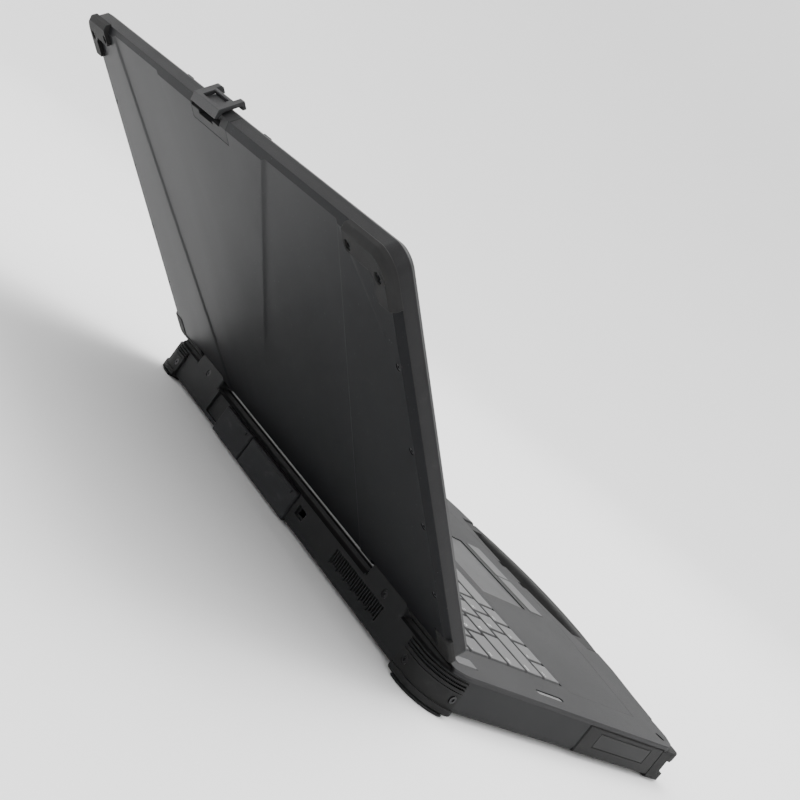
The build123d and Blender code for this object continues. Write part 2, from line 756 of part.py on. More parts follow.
with BuildPart() as hinge_arms:
    for side in (-1, 1):
        x = sided(side, arm_inner, arm_inner + arm_width)
        rod(x, hinge_axis_y, hinge_axis_z, 4.6)
        block(x, (lid_y(arm_reach), hinge_axis_y), (hinge_axis_z - 3.0, hinge_axis_z + 2.0))
        rod(sided(side, arm_inner + arm_width - 1, shaft_end), hinge_axis_y, hinge_axis_z, shaft_radius)
keep(opened(hinge_arms.part), "hinge_arms")


# Lid shells
def lid_plan(inset=0.0):
    """Closed-lid outline with rounded corners."""
    with BuildSketch() as plan:
        with Locations((0, lid_y(lid_length / 2))):
            Rectangle(2 * lid_half - 2 * inset, lid_length - 2 * inset)
        fillet(plan.vertices().group_by(Axis.Y)[0], lid_corner_radius - inset)
        fillet(plan.vertices().group_by(Axis.Y)[-1], lid_corner_radius / 2 - inset / 2)
    return plan.sketch


def facet_plan(grow):
    """The low band of the lid's back, between a central wedge and the two outer fields."""
    top = lid_length + 6
    with BuildSketch() as plan:
        with BuildLine():
            Polyline(
                (0, lid_y(facet_wedge_low)),
                (facet_wedge_half + 2.0, lid_y(top)),
                (facet_outer_top + 1.4, lid_y(top)),
                (facet_outer_low, lid_y(-6)),
                (-facet_outer_low, lid_y(-6)),
                (-facet_outer_top - 1.4, lid_y(top)),
                (-facet_wedge_half - 2.0, lid_y(top)),
                close=True,
            )
        make_face()
        offset(amount=grow, kind=Kind.INTERSECTION)
    return plan.sketch


def cap_plan(side):
    """Raised rubber cap over one top corner of the lid."""
    with BuildSketch() as plan:
        with BuildLine():
            Polyline(
                (side * cap_inner, lid_y(lid_length + 3)),
                (side * cap_inner, lid_y(lid_length - cap_strip + 2)),
                (side * (cap_inner + 2), lid_y(lid_length - cap_strip)),
                (side * (lid_half - cap_side_strip - 3), lid_y(lid_length - cap_strip)),
                (side * (lid_half - cap_side_strip), lid_y(lid_length - cap_strip - 3)),
                (side * (lid_half - cap_side_strip), lid_y(cap_low + 1.5)),
                (side * (lid_half - cap_side_strip + 1.5), lid_y(cap_low)),
                (side * (lid_half + 3), lid_y(cap_low)),
                (side * (lid_half + 3), lid_y(lid_length + 3)),
                close=True,
            )
        make_face()
    return plan.sketch


facet_depth = 0.9
facet_wedge_half = 77.0
facet_wedge_low = 80.0
facet_outer_top = lid_half - 47.65
facet_outer_low = 93.0
facet_bevel = 2.6
cap_inner = lid_half - 37.15
cap_low = lid_length - 25.6
cap_strip = 12.0           # cap's width along the lid's top edge
cap_side_strip = 12.5      # and along its side
cap_rise = 2.6
cap_skin = 1.0             # how far cap and bumper stand outside the lid's edge
side_screw_inset = 6.95
side_screw_low = 48.0
side_screw_high = 57.6
side_screw_count = 4
lid_outline = lid_plan()
bezel_outline = lid_plan(0.5)
lid_cavity = lid_plan(lid_wall)
cap_outline = lid_plan(-cap_skin)
facet_low = facet_plan(0)
facet_high = facet_plan(facet_bevel)
cap_plans = {-1: cap_plan(-1), 1: cap_plan(1)}
mount_x = (-latch_mount_left, latch_mount_right)
mount_y = (lid_edge_y - 1.2, lid_edge_y + latch_mount_depth)
bumper_s = 18.0
bumper_width = 13.0
strip_s = 4.5              # strip of the same rubber along the lid's bottom edge, up to the hood


def bumper_blocks(side, low, high, mode):
    """The corner block of a lid bumper and its strip, between two heights."""
    block(sided(side, lid_half - bumper_width, lid_half + cap_skin + 1), (lid_y(bumper_s), lid_y(-3)),
          (low, high), mode=mode)
    block(sided(side, hood_outer + 0.9, lid_half - bumper_width + 1), (lid_y(strip_s), lid_y(-3)),
          (low, high), mode=mode)




def hinge_notches():
    """Clear the hoods and the arms from a lid shell."""
    for side in (-1, 1):
        block(sided(side, hood_inner - 0.9, hood_outer + 0.9), (lid_y(notch_depth), lid_y(-20)),
              (lid_face - 1, lid_back + 1), mode=Mode.SUBTRACT)
        block(sided(side, arm_inner - 0.3, arm_inner + arm_width + 0.3), (lid_y(arm_reach + 0.3), lid_y(-20)),
              (hinge_axis_z - 3.3, hinge_axis_z + 2.3), mode=Mode.SUBTRACT)
        rod(sided(side, arm_inner - 0.3, hood_inner), hinge_axis_y, hinge_axis_z, 5.0, mode=Mode.SUBTRACT)


def side_screw_places():
    """Screws along the lid's two sides, evenly spaced, seen on its back."""
    low, high = side_screw_low, lid_length - side_screw_high
    steps = [low + (high - low) * step / (side_screw_count - 1) for step in range(side_screw_count)]
    return [(side * (lid_half - side_screw_inset), lid_y(s)) for side in (-1, 1) for s in steps]


def cap_screw_places():
    """Two screws in each lid cap."""
    return [(side * x, lid_y(lid_length - inset)) for side in (-1, 1)
            for x, inset in ((cap_inner + 3.6, 8.2), (lid_half - 7.6, 12.0))]


def lid_back_form():
    """The back cover's outer form: a low straight edge, then a slope to the back plane."""
    extrude(Pos(0, 0, lid_seam) * lid_outline, amount=lid_edge_flat)
    extrude(Pos(0, 0, lid_seam + lid_edge_flat) * lid_outline,
            amount=lid_cover_depth - lid_edge_flat, taper=lid_bevel_angle)


def lid_front_form():
    """The bezel's outer form, beveled towards the screen side."""
    extrude(Pos(0, 0, lid_seam) * bezel_outline, amount=lid_face_bevel + lid_face - lid_seam)
    extrude(Pos(0, 0, lid_face + lid_face_bevel) * bezel_outline, amount=-lid_face_bevel, taper=45)


with BuildPart() as lid_form:
    lid_back_form()
    lid_front_form()

with BuildPart() as lid_back_cover:
    lid_back_form()
    extrude(Pos(0, 0, lid_seam) * lid_cavity, amount=lid_cover_depth - lid_wall, mode=Mode.SUBTRACT)
    loft([Pos(0, 0, lid_back - facet_depth) * facet_low.face(), Pos(0, 0, lid_back) * facet_high.face()],
         ruled=True, mode=Mode.SUBTRACT)
    for side in (-1, 1):
        extrude(Pos(0, 0, lid_seam - 1) * cap_plans[side], amount=lid_cover_depth + 2, mode=Mode.SUBTRACT)
        bumper_blocks(side, lid_seam - 1, lid_back + 1, Mode.SUBTRACT)
    hinge_notches()
    block(mount_x, mount_y, (lid_face - 1, lid_back + 1), mode=Mode.SUBTRACT)
    with Locations(*[(x, y, lid_back) for x, y in side_screw_places()]):
        Cylinder(1.9, 2.4, mode=Mode.SUBTRACT)
keep(opened(lid_back_cover.part), "lid_back_cover")

window_x = (-window_width / 2, window_width / 2)
window_y = (lid_y(window_low + window_height), lid_y(window_low))
glass_low = lid_face + glass_lip
with BuildPart() as screen_bezel:
    lid_front_form()
    block((window_x[0] - panel_margin, window_x[1] + panel_margin),
          (window_y[0] - panel_margin, window_y[1] + panel_margin),
          (glass_low, lid_seam + 1), mode=Mode.SUBTRACT)
    block(window_x, window_y, (lid_face - 1, glass_low + 1), mode=Mode.SUBTRACT)
    hinge_notches()
    block(mount_x, mount_y, (lid_face - 1, lid_back + 1), mode=Mode.SUBTRACT)
    with Locations((0, lid_y(camera_s), lid_face)):
        Cylinder(3.3, 11.0, mode=Mode.SUBTRACT)
keep(opened(screen_bezel.part), "screen_bezel")

with BuildPart() as screen_glass:
    block((window_x[0] - panel_margin + 0.3, window_x[1] + panel_margin - 0.3),
          (window_y[0] - panel_margin + 0.3, window_y[1] + panel_margin - 0.3),
          (glass_low, glass_low + glass_thickness))
keep(opened(screen_glass.part), "screen_glass")

with BuildPart() as display_panel:
    block((window_x[0] - panel_margin + 0.6, window_x[1] + panel_margin - 0.6),
          (window_y[0] - panel_margin + 0.6, window_y[1] + panel_margin - 0.6),
          (glass_low + glass_thickness, lid_back - lid_wall - 1.2))
keep(opened(display_panel.part), "display_panel")

with BuildPart() as camera_module:
    with Locations((0, lid_y(camera_s), lid_face + 2.9)):
        Cylinder(3.0, 4.2)
    with Locations((0, lid_y(camera_s), lid_face + 0.8)):
        Cone(1.0, 2.2, 1.2, rotation=(180, 0, 0), mode=Mode.SUBTRACT)
keep(opened(camera_module.part), "camera_module")

for side, side_name in ((-1, "left"), (1, "right")):
    with BuildPart() as lid_cap:
        extrude(Pos(0, 0, lid_seam) * cap_outline, amount=lid_back + cap_rise - lid_seam)
        chamfer(lid_cap.faces().sort_by(Axis.Z)[-1].edges(), 2.4)
        extrude(Pos(0, 0, lid_seam - 1) * cap_plans[side], amount=lid_thickness + 8, mode=Mode.INTERSECT)
        with Locations(*[(x, y, lid_back + cap_rise) for x, y in cap_screw_places()]):
            Cylinder(2.6, 5.0, mode=Mode.SUBTRACT)
    keep(opened(lid_cap.part), f"lid_cap_{side_name}")
    with BuildPart() as lid_bumper:
        bumper_blocks(side, lid_seam, lid_back + 0.5, Mode.ADD)
        extrude(Pos(0, 0, lid_seam - 1) * cap_outline, amount=lid_cover_depth + 3, mode=Mode.INTERSECT)
        chamfer(lid_bumper.faces().sort_by(Axis.Z)[-1].edges(), 1.2)
    keep(opened(lid_bumper.part), f"lid_bumper_{side_name}")

# Latch: a mount let into the lid's top edge, a pin and a lever with two hooks
pin_y = lid_edge_y + latch_pin_inset
pin_z = hinge_axis_z + 0.6
knuckle_half = 9.0
knuckle_radius = 3.2
mount_gap = 0.4
mount_sink = 0.6           # mount's top edge below the lever's plate
pocket_reach = 5.0         # finger pocket, from the top edge down the back
pocket_depth = 3.6
flap_overhang = 1.2        # how far the thumb flap hangs over the pocket
flap_rise = 0.9            # flap's lip behind the lid's back
flap_lip = 2.0
plate_inner = lid_edge_y - latch_lift
plate_outer = plate_inner - latch_plate
with BuildPart() as latch_mount:
    block((mount_x[0] + mount_gap, mount_x[1] - mount_gap), (lid_edge_y - 1, mount_y[1] - mount_gap),
          (lid_face, lid_back))
    add(lid_form.part, mode=Mode.INTERSECT)
    block((-latch_half - 0.5, latch_half + 0.5), (lid_edge_y - 3, lid_edge_y + mount_sink),
          (lid_face - 1, lid_back + 1), mode=Mode.SUBTRACT)
    block((-latch_half - 2.5, latch_half + 2.5), (lid_edge_y - 3, lid_edge_y + pocket_reach),
          (lid_back - pocket_depth, lid_back + 1), mode=Mode.SUBTRACT)
    # slot for the lever's knuckle
    block((-knuckle_half - 0.3, knuckle_half + 0.3), (lid_edge_y - 3, pin_y + knuckle_radius + 0.6),
          (pin_z - knuckle_radius - 0.6, lid_back + 1), mode=Mode.SUBTRACT)
    rod((-knuckle_half - 5, knuckle_half + 5), pin_y, pin_z, latch_pin_radius, mode=Mode.SUBTRACT)
keep(opened(latch_mount.part), "latch_mount")

with BuildPart() as latch_pin:
    rod((-knuckle_half - 4.9, knuckle_half + 4.9), pin_y, pin_z, latch_pin_radius)
keep(opened(latch_pin.part), "latch_pin")

window_back = hinge_axis_z + 2.0
window_front = hinge_axis_z - 4.8
bar_front = deck_top + 0.4
flap_ridge = hinge_axis_z + 3.9
with BuildPart() as latch_lever:
    block((-latch_half, latch_half), (plate_outer, plate_inner), (bar_front, flap_ridge))
    for side in (-1, 1):
        block(sided(side, hook_inner, hook_outer), (plate_outer, plate_inner), (hook_tip_z, bar_front))
        block(sided(side, hook_inner, hook_outer), (plate_outer, hook_tip_y), (hook_tip_z, hook_tip_z + 2.3))
    block((-9.5, 9.5), (plate_outer - 1, plate_inner + 1), (window_front, window_back), mode=Mode.SUBTRACT)
    chamfer(latch_lever.faces().sort_by(Axis.Z)[0].edges().filter_by(Axis.X).group_by(Axis.Y)[0], 1.2)
    # thumb flap: slopes from the plate over the finger pocket
    with BuildSketch(Plane.YZ.offset(-latch_half)):
        Polygon((plate_outer, flap_ridge - flap_lip), (plate_outer, flap_ridge),
                (lid_edge_y + flap_overhang, lid_back + flap_rise),
                (lid_edge_y + flap_overhang + 0.7, lid_back + flap_rise - flap_lip),
                (plate_inner, flap_ridge - flap_lip), align=None)
    extrude(amount=2 * latch_half)
    block((-knuckle_half, knuckle_half), (plate_inner, pin_y), (pin_z - 2.2, window_back + 1.0))
    rod((-knuckle_half, knuckle_half), pin_y, pin_z, knuckle_radius)
    rod((-knuckle_half - 1, knuckle_half + 1), pin_y, pin_z, latch_pin_radius + 0.05, mode=Mode.SUBTRACT)
keep(opened(latch_lever.part), "latch_lever")


# Rubber doors over the ports, hinged along their lower edge
def rear_door(x, name):
    """Door with a rounded face, a pull rail along its top and a plug lip inside."""
    face = case_rear + door_proud
    with BuildPart() as door:
        block(x, (pocket_floor + 0.2, face), (door_bottom, door_top))
        fillet(door.faces().sort_by(Axis.Y)[-1].edges(), 1.6)
        chamfer(door.faces().sort_by(Axis.Y)[0].edges().filter_by(Axis.X).sort_by(Axis.Z)[0], door_heel)
        block((x[0] + 6, x[1] - 6), (face - 1, face + 0.7), (door_top - 3.4, door_top - 1.4))
        block((x[0] + 3.8, x[1] - 3.8), (pocket_floor + 0.2 - door_plug, pocket_floor + 0.3), (5.8, 15.6))
    keep(door.part, name)


rear_door(door_right_x, "port_door_right")
rear_door(door_left_x, "port_door_left")

with BuildPart() as port_door_side:
    block((half_width - 3.6, half_width + 0.8), side_door_y, (cover_top + 0.3, 16.8))
    fillet(port_door_side.faces().sort_by(Axis.X)[-1].edges(), 0.7)
keep(port_door_side.part, "port_door_side")

with BuildPart() as port_connectors:
    connector_y = (pocket_floor - 20, pocket_floor - 3.2)
    for left, width, low, high in ((50, 13.5, 5.5, 13), (67, 17, 5.5, 14), (-20, 31, 5.5, 15.4),
                                   (15, 13.5, 5.5, 13), (32, 9, 5.5, 15)):
        block((left, left + width), connector_y, (low, high))
        block((left + 0.7, left + width - 0.7), (connector_y[1] - 3, connector_y[1] + 1),
              (low + 0.7, high - 0.7), mode=Mode.SUBTRACT)
        block((left + 1.6, left + width - 1.6), (connector_y[1] - 3, connector_y[1] - 0.6),
              (low + 2.2, high - 2.2))
    for y in side_port_y:
        block((half_width - 22, half_width - 4.2), (y, y + side_port_width), (6.0, 13.0))
        block((half_width - 7, half_width - 3), (y + 0.7, y + side_port_width - 0.7), (6.7, 12.3),
              mode=Mode.SUBTRACT)
        block((half_width - 7, half_width - 4.6), (y + 1.6, y + side_port_width - 1.6), (8.2, 10.8))
keep(port_connectors.part, "port_connectors")

# Battery module, with a label frame on its outer face
label_y = (-95.0, -33.0)
label_z = (6.6, 17.4)
with BuildPart() as battery_pack:
    block((-half_width - battery_proud, -half_width + battery_length - battery_gap),
          (battery_front, battery_rear), (0, case_seam - 0.4))
    chamfer(battery_pack.faces().sort_by(Axis.X)[0].edges(), 0.7)
    block((-half_width - battery_proud - 1, -half_width - battery_proud + 0.5), label_y, label_z,
          mode=Mode.SUBTRACT)
keep(battery_pack.part, "battery_pack")

with BuildPart() as battery_label_plate:
    block((-half_width - battery_proud + 0.1, -half_width - battery_proud + 0.5),
          (label_y[0] + 0.5, label_y[1] - 0.5), (label_z[0] + 0.5, label_z[1] - 0.5))
keep(battery_label_plate.part, "battery_label_plate")

with BuildPart() as drive_bay_cover:
    block((half_width - 2, half_width + 0.2), drive_y, (4.5, 17.5))
    fillet(drive_bay_cover.edges().filter_by(Axis.X), 1.5)
    with Locations(Location((half_width, drive_y[0] + 7, 11), (0, 90, 0)),
                   Location((half_width, drive_y[1] - 7, 11), (0, 90, 0))):
        Cylinder(2.4, 2.0, mode=Mode.SUBTRACT)
keep(drive_bay_cover.part, "drive_bay_cover")

# Inside the case
board_bottom = cover_top + 4.0
board_top = board_bottom + 1.6
with BuildPart() as motherboard:
    block((-70, 175), (-10, 95), (board_bottom, board_top))
    block((-140, -70), (30, 60), (board_bottom, board_top))
    for x, y in ((-60, 0), (165, 0), (-60, 85), (165, 85), (-130, 45)):
        with Locations((x, y, (cover_top + board_bottom) / 2)):
            Cylinder(3.0, board_bottom - cover_top)
    block((40, 75), (20, 55), (board_top, board_top + 2.4))
    block((90, 150), (60, 75), (board_top, board_top + 3.5))
keep(motherboard.part, "motherboard")

fan_x = -112.0
fan_y = 86.0
with BuildPart() as fan_housing:
    block((fan_x - 32, fan_x + 32), (fan_y - 26, fan_y + 30), (cover_top, cover_top + 12))
    with Locations((fan_x, fan_y, cover_top + 6.8)):
        Cylinder(24.6, 10.6, mode=Mode.SUBTRACT)
    block((fan_x - 20, fan_x + 20), (fan_y, fan_y + 31), (cover_top + 1.5, cover_top + 10.8), mode=Mode.SUBTRACT)
    with Locations((fan_x, fan_y, cover_top + 3.5)):
        Cylinder(2.0, 5.0)
keep(fan_housing.part, "fan_housing")

with BuildPart() as fan_rotor:
    with Locations((fan_x, fan_y, cover_top + 6.5)):
        Cylinder(9.0, 8.0)
        Cylinder(2.05, 20.0, mode=Mode.SUBTRACT)
    with Locations((fan_x, fan_y, cover_top + 6.5)):
        with PolarLocations(15.5, 21):
            Box(15.0, 0.9, 7.0, rotation=(0, 0, 18))
keep(fan_rotor.part, "fan_rotor")

with BuildPart() as heat_sink:
    fin_base = (cover_top + 2.0, cover_top + 3.0)
    block((fan_x - 26, fan_x + 26), (fan_y + 30.5, case_rear - case_wall - 0.3), fin_base)
    for fin in range(20):
        left = fan_x - 25 + fin * 2.6
        block((left, left + 0.6), (fan_y + 30.5, case_rear - case_wall - 0.3), (fin_base[0], cover_top + 11))
keep(heat_sink.part, "heat_sink")

with BuildPart() as heat_pipe:
    pipe_z = (board_top + 2.4, board_top + 4.9)
    block((42, 72), (23, 52), pipe_z)
    block((52, 58), (50, 66), pipe_z)
    block((-78, 58), (60, 66), pipe_z)
    block((-78, -72), (60, 122), pipe_z)
    block((fan_x + 25.3, -72), (117, 122), pipe_z)
keep(heat_pipe.part, "heat_pipe")

with BuildPart() as drive_module:
    block((half_width - 78, half_width - 2.3), (drive_y[0] + 5, drive_y[1] - 5), (6.8, 15.2))
keep(drive_module.part, "drive_module")

with BuildPart() as speakers:
    for side in (-1, 1):
        block(sided(side, 55, 105) if side > 0 else (-72, -30), (case_front + 2, case_front + 14),
              (cover_top, cover_top + 10))
keep(speakers.part, "speakers")


# Screws, grouped by where they go
def screw_heads(seats, radius, height, socket, name, lid=False):
    """Round heads standing on their seats, each with a driver socket."""
    with BuildPart() as screws:
        with Locations(*seats):
            Cylinder(radius, height, align=(Align.CENTER, Align.CENTER, Align.MIN))
        with Locations(*[seat * Pos(0, 0, height / 2) for seat in seats]):
            Cylinder(socket, height, align=(Align.CENTER, Align.CENTER, Align.MIN), mode=Mode.SUBTRACT)
    keep(opened(screws.part) if lid else screws.part, name)


down = (180, 0, 0)
case_seats = [Location((x, y, 1.5), down) for x, y in screw_places]
case_seats += [Location((x, y, handle_bottom + 2.0), down) for x, y in handle_screw_places]
screw_heads(case_seats, 2.2, 1.2, 1.0, "case_screws")
hinge_seats = [
    Location((side * (hood_inner + 20.5), hinge_axis_y + hood_radius - 1.5, 22.0), (-90, 0, 0)) for side in (-1, 1)
]
screw_heads(hinge_seats, 2.4, 1.0, 1.1, "hinge_screws")
lid_seats = [Location((x, y, lid_back - 1.2)) for x, y in side_screw_places()]
screw_heads(lid_seats, 1.7, 0.9, 0.8, "lid_side_screws", lid=True)
cap_seats = [Location((x, y, lid_back + cap_rise - 2.5)) for x, y in cap_screw_places()]
screw_heads(cap_seats, 2.4, 1.5, 1.1, "lid_cap_screws", lid=True)
drive_seats = [Location((half_width - 1.0, y, 11), (0, 90, 0)) for y in (drive_y[0] + 7, drive_y[1] - 7)]
screw_heads(drive_seats, 2.2, 0.9, 1.0, "drive_bay_screws")

# Rubber seal and stop pads on the bezel
seal_width = 2.2
seal_half = lid_half - 7.0
seal_s = (16.0, lid_length - 14.5)
with BuildPart() as lid_seal:
    block((-seal_half, seal_half), (lid_y(seal_s[1]), lid_y(seal_s[0])), (lid_face - 0.6, lid_face))
    fillet(lid_seal.edges().filter_by(Axis.Z), 5.0)
    block((-seal_half + seal_width, seal_half - seal_width),
          (lid_y(seal_s[1] - seal_width), lid_y(seal_s[0] + seal_width)),
          (lid_face - 1, lid_face + 1), mode=Mode.SUBTRACT)
    for side in (-1, 1):
        block(sided(side, 48, 56), (lid_y(lid_length - 3), lid_y(lid_length - 7)), (lid_face - 0.8, lid_face))
keep(opened(lid_seal.part), "lid_seal")
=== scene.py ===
import json
import math
import bmesh
import bpy
import numpy as np
from mathutils import Matrix, Vector


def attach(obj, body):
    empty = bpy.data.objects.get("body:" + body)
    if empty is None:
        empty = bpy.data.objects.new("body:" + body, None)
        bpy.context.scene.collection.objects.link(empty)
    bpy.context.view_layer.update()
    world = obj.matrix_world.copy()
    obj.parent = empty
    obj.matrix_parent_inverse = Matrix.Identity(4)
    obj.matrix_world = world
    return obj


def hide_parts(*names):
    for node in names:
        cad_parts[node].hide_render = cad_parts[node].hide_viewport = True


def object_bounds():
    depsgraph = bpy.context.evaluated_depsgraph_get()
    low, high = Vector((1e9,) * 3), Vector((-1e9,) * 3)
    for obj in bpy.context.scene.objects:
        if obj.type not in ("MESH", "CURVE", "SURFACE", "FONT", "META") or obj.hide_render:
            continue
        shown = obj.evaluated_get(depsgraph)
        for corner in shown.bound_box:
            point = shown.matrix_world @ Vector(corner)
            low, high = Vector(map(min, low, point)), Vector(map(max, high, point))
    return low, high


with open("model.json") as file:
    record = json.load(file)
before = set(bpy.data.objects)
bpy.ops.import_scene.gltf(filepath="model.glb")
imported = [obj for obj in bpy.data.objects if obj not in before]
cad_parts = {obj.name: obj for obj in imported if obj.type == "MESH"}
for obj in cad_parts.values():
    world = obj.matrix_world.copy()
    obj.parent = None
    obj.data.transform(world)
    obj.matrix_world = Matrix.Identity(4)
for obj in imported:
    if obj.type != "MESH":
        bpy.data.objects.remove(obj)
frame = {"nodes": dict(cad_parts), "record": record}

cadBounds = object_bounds()
millimetre = 0.001
nodes = frame["nodes"]
bodyOf = {node: body for body, members in frame["record"]["behaviour"]["bodies"].items() for node in members}
slotOf = {entry["node"]: entry["material_slot"] for entry in frame["record"]["subparts"]}
print("frame loaded:", len(nodes), "nodes")


# shader expressions
class Sock:
    # wraps one node output, so that arithmetic on it writes the Math nodes
    def __init__(self, tree, socket):
        self.tree = tree
        self.socket = socket

    def math(self, operation, other=None, third=None):
        node = self.tree.nodes.new("ShaderNodeMath")
        node.operation = operation
        for place, value in enumerate((self, other, third)):
            if value is None:
                continue
            if isinstance(value, Sock):
                self.tree.links.new(value.socket, node.inputs[place])
            else:
                node.inputs[place].default_value = value
        return Sock(self.tree, node.outputs[0])

    def flipped(self, operation, other):
        node = self.tree.nodes.new("ShaderNodeMath")
        node.operation = operation
        node.inputs[0].default_value = other
        self.tree.links.new(self.socket, node.inputs[1])
        return Sock(self.tree, node.outputs[0])

    def __add__(self, other): return self.math("ADD", other)
    def __radd__(self, other): return self.math("ADD", other)
    def __sub__(self, other): return self.math("SUBTRACT", other)
    def __rsub__(self, other): return self.flipped("SUBTRACT", other)
    def __mul__(self, other): return self.math("MULTIPLY", other)
    def __rmul__(self, other): return self.math("MULTIPLY", other)
    def __truediv__(self, other): return self.math("DIVIDE", other)
    def __rtruediv__(self, other): return self.flipped("DIVIDE", other)
    def clip(self): return self.math("MAXIMUM", 0.0).math("MINIMUM", 1.0)
    def steps(self, low, high): return ((self - low) / (high - low)).clip()


class Finish:
    # one material: its tree, its shader and the patterns on it
    def __init__(self, name):
        self.material = bpy.data.materials.new(name)
        self.material.use_nodes = True
        self.tree = self.material.node_tree
        self.shader = self.tree.nodes["Principled BSDF"]
        self.place = Sock(self.tree, self.tree.nodes.new("ShaderNodeTexCoord").outputs["Object"])

    def node(self, kind, settings, inputs, output=0):
        made = self.tree.nodes.new(kind)
        for key, value in settings.items():
            if key == "stops":
                ramp = made.color_ramp
                while len(ramp.elements) < len(value):
                    ramp.elements.new(0.5)
                for element, (spot, tone) in zip(ramp.elements, value):
                    element.position = spot
                    element.color = (*tone, 1.0)
            else:
                setattr(made, key, value)
        for key, value in inputs.items():
            if isinstance(value, Sock):
                self.tree.links.new(value.socket, made.inputs[key])
            else:
                made.inputs[key].default_value = value
        return Sock(self.tree, made.outputs[output])

    def noise(self, scale, detail=2.0, roughness=0.5, stretch=(1, 1, 1)):
        place = self.node("ShaderNodeMapping", {}, {"Vector": self.place, "Scale": stretch})
        return self.node("ShaderNodeTexNoise", {}, {"Vector": place, "Scale": scale, "Detail": detail,
                                                     "Roughness": roughness})

    def cells(self, scale):
        return self.node("ShaderNodeTexVoronoi", {}, {"Vector": self.place, "Scale": scale})

    def blend(self, factor, first, second):
        return self.node("ShaderNodeMix", {"data_type": "RGBA"},
                         {"Factor": factor, "A": (*first, 1.0) if not isinstance(first, Sock) else first,
                          "B": (*second, 1.0) if not isinstance(second, Sock) else second}, output=2)

    def feed(self, name, value):
        if isinstance(value, Sock):
            self.tree.links.new(value.socket, self.shader.inputs[name])
        else:
            self.shader.inputs[name].default_value = value

    def relief(self, height, depth, strength=1.0):
        bump = self.node("ShaderNodeBump", {}, {"Height": height, "Distance": depth, "Strength": strength})
        self.feed("Normal", bump)


# a tone made lighter or darker: each channel times the factor
def shade(tone, factor):
    return tuple(channel * factor for channel in tone)


# grainy moulded plastic: cell-and-noise grain in the relief, broad patches in colour and roughness, and, where a
# rear edge is given, a painted shadow of the lid past it
def mouldedFinish(name, look):
    made = Finish(name)
    patches = made.noise(look["patchScale"], 4.0, 0.55)
    grain = made.noise(look["grainScale"], 3.0, 0.6)
    pits = made.cells(look["grainScale"] * 0.7)
    dust = made.noise(look["patchScale"] * 9.0, 6.0, 0.7).steps(0.58, 0.78)
    base = made.blend(patches, shade(look["tone"], 1.0 - look["spread"]), shade(look["tone"], 1.0 + look["spread"]))
    speckled = made.blend(grain.steps(0.35, 0.8) * look["speckle"], base, shade(look["tone"], 1.6))
    dustAndShadowColour = made.blend(dust * look["dust"], speckled, (0.2, 0.2, 0.195))
    rough = look["rough"] + (patches - 0.5) * look["roughSpread"] + grain * 0.06 + dust * 0.1
    # painted shadow: past rearEdge along y the colour turns nearly black, standing in for the lid's shadow falling
    # on the deck's rear strip; the roughness there also rises
    if "rearShadowTone" in look:
        depth = made.node("ShaderNodeSeparateXYZ", {}, {"Vector": made.place}, output=1)
        rear = depth.steps(look["rearEdge"], look["rearEdge"] + 0.001)
        dustAndShadowColour = made.blend(rear, dustAndShadowColour, look["rearShadowTone"])
        rough = rough + rear * look["rearRough"]
    # the colour fed here holds the real dust and, on the deck, the painted shadow of the lid
    made.feed("Base Color", dustAndShadowColour)
    made.feed("Roughness", rough.clip())
    made.feed("Specular IOR Level", look["gloss"])
    made.relief(grain * 0.6 + pits * 0.4, look["grainDepth"])
    return made.material


# soft-touch rubber: broad scuffs, fine tooth, pale dust in the hollows of the noise
def rubberFinish(name, look):
    made = Finish(name)
    scuffs = made.noise(look["scuffScale"], 5.0, 0.65, (1.0, 1.6, 2.4))
    tooth = made.noise(look["toothScale"], 2.0, 0.5)
    base = made.blend(scuffs.steps(0.3, 0.75), shade(look["tone"], 0.8), shade(look["tone"], 1.35))
    worn = made.blend(scuffs.steps(0.62, 0.8) * look["worn"], base, (0.12, 0.12, 0.118))
    made.feed("Base Color", worn)
    made.feed("Roughness", (look["rough"] + (scuffs - 0.5) * 0.2 + tooth * 0.05).clip())
    made.feed("Specular IOR Level", look["gloss"])
    made.relief(tooth, look["toothDepth"])
    return made.material


# satin powder coat on the lid: orange-peel relief, faint wiped streaks, sparse bright specks
def lidPaintFinish(name, look):
    made = Finish(name)
    peel = made.noise(look["peelScale"], 2.0, 0.5)
    streaks = made.noise(look["streakScale"], 4.0, 0.6, (1.0, 0.25, 0.25))
    smudge = made.noise(look["smudgeScale"], 3.0, 0.5)
    specks = made.noise(look["speckScale"], 1.0, 0.5).steps(0.74, 0.8)
    base = made.blend(smudge, shade(look["tone"], 0.88), shade(look["tone"], 1.14))
    made.feed("Base Color", made.blend(specks * look["speck"], base, (0.3, 0.31, 0.31)))
    made.feed("Roughness", (look["rough"] + (streaks - 0.5) * look["streak"] + (smudge - 0.5) * 0.08).clip())
    made.feed("Specular IOR Level", look["gloss"])
    made.relief(peel, look["peelDepth"])
    return made.material


# machined or plated metal: fine lines along one direction
def metalFinish(name, look):
    made = Finish(name)
    lines = made.noise(look["lineScale"], 3.0, 0.6, look["stretch"])
    patches = made.noise(120.0, 3.0, 0.5)
    made.feed("Base Color", made.blend(patches, shade(look["tone"], 0.8), shade(look["tone"], 1.15)))
    made.feed("Metallic", 1.0)
    made.feed("Roughness", (look["rough"] + (lines - 0.5) * 0.25).clip())
    made.relief(lines, look["lineDepth"])
    return made.material


# glass, films and smoked windows: nearly smooth, with fingerprints only in roughness
def glossFinish(name, look):
    made = Finish(name)
    prints = made.noise(look["printScale"], 5.0, 0.6)
    tint = made.blend(made.noise(40.0, 2.0, 0.5), shade(look["tone"], 0.85), shade(look["tone"], 1.2))
    made.feed("Base Color", tint)
    made.feed("Roughness", (look["rough"] + prints.steps(0.5, 0.8) * 0.15).clip())
    made.feed("Specular IOR Level", look["gloss"])
    if look.get("alpha", 1.0) < 1.0:
        made.feed("Alpha", look["alpha"])
    made.relief(prints, 0.000002)
    return made.material


